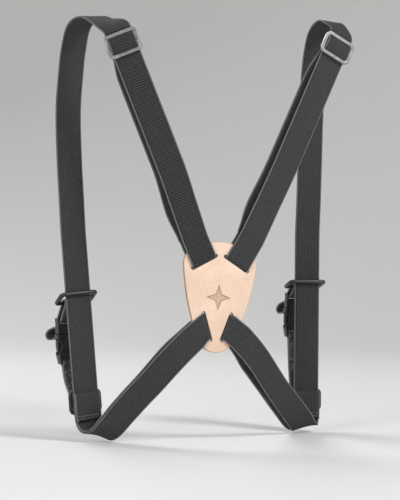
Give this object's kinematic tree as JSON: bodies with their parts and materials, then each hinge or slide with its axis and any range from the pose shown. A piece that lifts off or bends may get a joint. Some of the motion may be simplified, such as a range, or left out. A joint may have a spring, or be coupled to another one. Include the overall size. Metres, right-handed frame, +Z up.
{
  "type": "binocular harness",
  "caption": "Elastic webbing harness that crosses at a leather back pad and carries a binocular from webs with side-release buckles on the chest.",
  "frame": {"origin": "centre of the leather pad's back face, the face that lies on the wearer's back", "axes": "+Z up along the wearer's back, +Y from the back towards the chest, +X to the wearer's right"},
  "size_m": [0.2714, 0.1284, 0.3907],
  "materials": {
    "elastic_webbing": "charcoal woven elastic webbing with a fine ribbed weave",
    "web": "dark nylon webbing, stitched",
    "pad_leather": "natural light tan leather, smooth, with cut edges",
    "slider_metal": "satin light grey metal",
    "black_plastic": "black moulded plastic, satin"
  },
  "bodies": {
    "harness": {"leather_pad": "pad_leather", "left_back_strap": "elastic_webbing", "left_front_strap": "elastic_webbing", "left_lower_strap": "elastic_webbing", "left_upper_return_layer": "elastic_webbing", "left_lower_return_layer": "elastic_webbing", "right_back_strap": "elastic_webbing", "right_front_strap": "elastic_webbing", "right_lower_strap": "elastic_webbing", "right_upper_return_layer": "elastic_webbing", "right_lower_return_layer": "elastic_webbing"},
    "left_shoulder_adjuster": {"left_shoulder_slider": "slider_metal", "left_shoulder_strap_turn": "elastic_webbing"},
    "left_lower_adjuster": {"left_lower_slider": "black_plastic", "left_lower_strap_turn": "elastic_webbing", "left_return_fold": "elastic_webbing", "left_socket_web": "web", "left_buckle_socket": "black_plastic"},
    "left_chest_clip": {"left_chest_loop": "black_plastic", "left_plug_web": "web", "left_web_tail": "web", "left_buckle_plug": "black_plastic"},
    "left_inner_latch": {"left_latch_arm_inner": "black_plastic"},
    "left_outer_latch": {"left_latch_arm_outer": "black_plastic"},
    "right_shoulder_adjuster": {"right_shoulder_slider": "slider_metal", "right_shoulder_strap_turn": "elastic_webbing"},
    "right_lower_adjuster": {"right_lower_slider": "black_plastic", "right_lower_strap_turn": "elastic_webbing", "right_return_fold": "elastic_webbing", "right_socket_web": "web", "right_buckle_socket": "black_plastic"},
    "right_chest_clip": {"right_chest_loop": "black_plastic", "right_plug_web": "web", "right_web_tail": "web", "right_buckle_plug": "black_plastic"},
    "right_inner_latch": {"right_latch_arm_inner": "black_plastic"},
    "right_outer_latch": {"right_latch_arm_outer": "black_plastic"}
  },
  "joints": [
    {"name": "left_shoulder_slide", "type": "slide", "parent": "harness", "child": "left_shoulder_adjuster", "axis": [0.3547, -0.0889, -0.9308], "range_m": [0, 0.1], "deforming": ["left_upper_return_layer"]},
    {"name": "left_lower_slide", "type": "slide", "parent": "harness", "child": "left_lower_adjuster", "axis": [-0.0797, 0, 0.9968], "range_m": [0, 0.025], "deforming": ["left_lower_return_layer"]},
    {"name": "left_release_slide", "type": "slide", "parent": "left_lower_adjuster", "child": "left_chest_clip", "axis": [-0.0797, 0, 0.9968], "range_m": [0, 0.022], "deforming": ["left_latch_arm_inner", "left_latch_arm_outer"]},
    {"name": "left_outer_latch_flex", "type": "hinge", "parent": "left_chest_clip", "child": "left_outer_latch", "pos_m": [-0.11817, 0.09406, -0.0351], "axis": [0.0999, -0.995, 0.008], "range_deg": [0, 7], "stiffness_Nm_per_rad": 0.02},
    {"name": "left_inner_latch_flex", "type": "hinge", "parent": "left_chest_clip", "child": "left_inner_latch", "pos_m": [-0.1025, 0.09565, -0.03384], "axis": [-0.0999, 0.995, -0.008], "range_deg": [0, 7], "stiffness_Nm_per_rad": 0.02},
    {"name": "right_shoulder_slide", "type": "slide", "parent": "harness", "child": "right_shoulder_adjuster", "axis": [-0.445, -0.0769, -0.8922], "range_m": [0, 0.1], "deforming": ["right_upper_return_layer"]},
    {"name": "right_lower_slide", "type": "slide", "parent": "harness", "child": "right_lower_adjuster", "axis": [0.0095, 0, 1], "range_m": [0, 0.025], "deforming": ["right_lower_return_layer"]},
    {"name": "right_release_slide", "type": "slide", "parent": "right_lower_adjuster", "child": "right_chest_clip", "axis": [0.0095, 0, 1], "range_m": [0, 0.022], "deforming": ["right_latch_arm_inner", "right_latch_arm_outer"]},
    {"name": "right_outer_latch_flex", "type": "hinge", "parent": "right_chest_clip", "child": "right_outer_latch", "pos_m": [0.12973, 0.09406, -0.01411], "axis": [0.1005, 0.9949, -0.001], "range_deg": [0, 7], "stiffness_Nm_per_rad": 0.02},
    {"name": "right_inner_latch_flex", "type": "hinge", "parent": "right_chest_clip", "child": "right_inner_latch", "pos_m": [0.11401, 0.09565, -0.01396], "axis": [-0.1005, -0.9949, 0.001], "range_deg": [0, 7], "stiffness_Nm_per_rad": 0.02}
  ],
  "couplings": [
    {"joint": "left_inner_latch_flex", "follows": "left_outer_latch_flex", "ratio": 1},
    {"joint": "right_inner_latch_flex", "follows": "right_outer_latch_flex", "ratio": 1}
  ]
}
